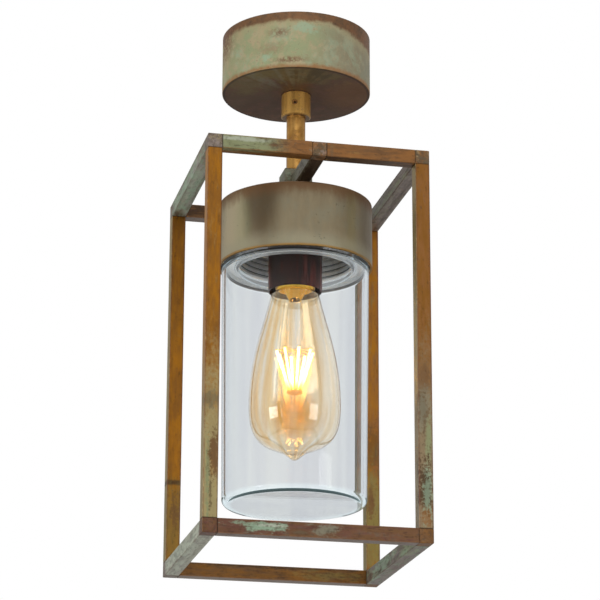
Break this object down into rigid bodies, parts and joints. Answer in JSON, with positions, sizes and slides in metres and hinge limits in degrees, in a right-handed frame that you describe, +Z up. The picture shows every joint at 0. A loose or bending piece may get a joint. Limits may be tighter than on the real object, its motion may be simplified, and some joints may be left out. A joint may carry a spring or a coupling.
{
  "type": "outdoor ceiling light",
  "caption": "Ceiling light for outdoors: a box frame of aged brass tube on a short stem under a round rose, with a cap, a screw-in glass cup and a filament bulb.",
  "frame": {"origin": "middle of the ceiling bracket's screw slots, on the ceiling", "axes": "+Z up into the ceiling, front faces -Y, +X to the right seen from the front"},
  "size_m": [0.155, 0.155, 0.383],
  "materials": {
    "rose_patina": "green patina with brown worn rims",
    "cap_patina": "satin olive patina, faint streaks",
    "stem_brass": "aged golden brass",
    "post_brass": "aged golden brown brass",
    "bar_brass": "brown brass mottled with green patina",
    "block_brass": "brown brass",
    "zinc_steel": "zinc plated",
    "dark_steel": "black oxide",
    "block_plastic": "moulded",
    "contact_brass": "bright",
    "lead_brown": "extruded insulation",
    "lead_blue": "extruded insulation",
    "lead_green": "extruded insulation",
    "ring_aluminium": "turned",
    "holder_bakelite": "glossy moulded",
    "holder_porcelain": "glazed",
    "seal_rubber": "moulded",
    "clear_glass": "clear pressed glass",
    "amber_glass": "amber tinted blown glass",
    "solder": "tinned",
    "black_glass": "glazed",
    "support_wire": "drawn wire",
    "filament": "lit"
  },
  "bodies": {
    "fixture": {"ceiling_bracket": "zinc_steel", "stem": "stem_brass", "upper_nipple": "zinc_steel", "nipple_washers": "zinc_steel", "nipple_nuts": "zinc_steel", "terminal_block": "block_plastic", "terminal_screws": "contact_brass", "block_screw": "zinc_steel", "earth_screw": "contact_brass", "live_lead": "lead_brown", "neutral_lead": "lead_blue", "earth_lead": "lead_green", "corner_front_left_top": "block_brass", "corner_front_left_bottom": "block_brass", "post_front_left": "post_brass", "top_bar_front_left": "bar_brass", "corner_front_right_top": "block_brass", "corner_front_right_bottom": "block_brass", "post_front_right": "post_brass", "top_bar_front_right": "bar_brass", "bottom_bar_front": "bar_brass", "middle_block_front": "block_brass", "cross_bar_front": "bar_brass", "corner_back_left_top": "block_brass", "corner_back_left_bottom": "block_brass", "post_back_left": "post_brass", "top_bar_back_left": "bar_brass", "corner_back_right_top": "block_brass", "corner_back_right_bottom": "block_brass", "post_back_right": "post_brass", "top_bar_back_right": "bar_brass", "bottom_bar_back": "bar_brass", "middle_block_back": "block_brass", "cross_bar_back": "bar_brass", "top_bar_left": "bar_brass", "bottom_bar_left": "bar_brass", "top_bar_right": "bar_brass", "bottom_bar_right": "bar_brass", "hub_block": "block_brass", "lower_nipple": "zinc_steel", "spacer_bush": "stem_brass", "cap": "cap_patina", "glass_ring": "ring_aluminium", "holder_dome": "holder_bakelite", "holder_insert": "holder_porcelain", "holder_skirt": "holder_bakelite", "holder_sleeve": "contact_brass", "holder_contact": "contact_brass"},
    "rose": {"rose": "rose_patina"},
    "collar": {"collar": "stem_brass", "grub_screw": "dark_steel"},
    "glass_seal": {"glass_seal": "seal_rubber"},
    "glass_cup": {"glass": "clear_glass"},
    "bulb_button": {"bulb_contact": "solder"},
    "bulb": {"bulb_cap": "contact_brass", "bulb_insulator": "black_glass", "bulb_glass": "amber_glass", "bulb_mount": "clear_glass", "bulb_support": "support_wire", "bulb_filaments": "filament"}
  },
  "joints": [
    {"name": "collar_slide", "type": "slide", "parent": "fixture", "child": "collar", "axis": [0, 0, 1], "range_m": [-0.04, 0]},
    {"name": "rose_slide", "type": "slide", "parent": "fixture", "child": "rose", "axis": [0, 0, 1], "range_m": [-0.04, 0]},
    {"name": "glass_drop", "type": "slide", "parent": "fixture", "child": "glass_seal", "axis": [0, 0, 1], "range_m": [-0.0121, 0]},
    {"name": "glass_turn", "type": "hinge", "parent": "glass_seal", "child": "glass_cup", "pos_m": [0, 0, -0.1725], "axis": [0, 0, 1], "range_deg": [-1080, 0]},
    {"name": "bulb_drop", "type": "slide", "parent": "fixture", "child": "bulb_button", "axis": [0, 0, 1], "range_m": [-0.01462, 0]},
    {"name": "bulb_turn", "type": "hinge", "parent": "bulb_button", "child": "bulb", "pos_m": [0, 0, -0.1898], "axis": [0, 0, 1], "range_deg": [-1440, 0]}
  ],
  "couplings": [
    {"joint": "rose_slide", "follows": "collar_slide", "ratio": 1},
    {"joint": "glass_drop", "follows": "glass_turn", "m_per_rad": 0.00063662},
    {"joint": "bulb_drop", "follows": "bulb_turn", "m_per_rad": 0.00057757}
  ]
}
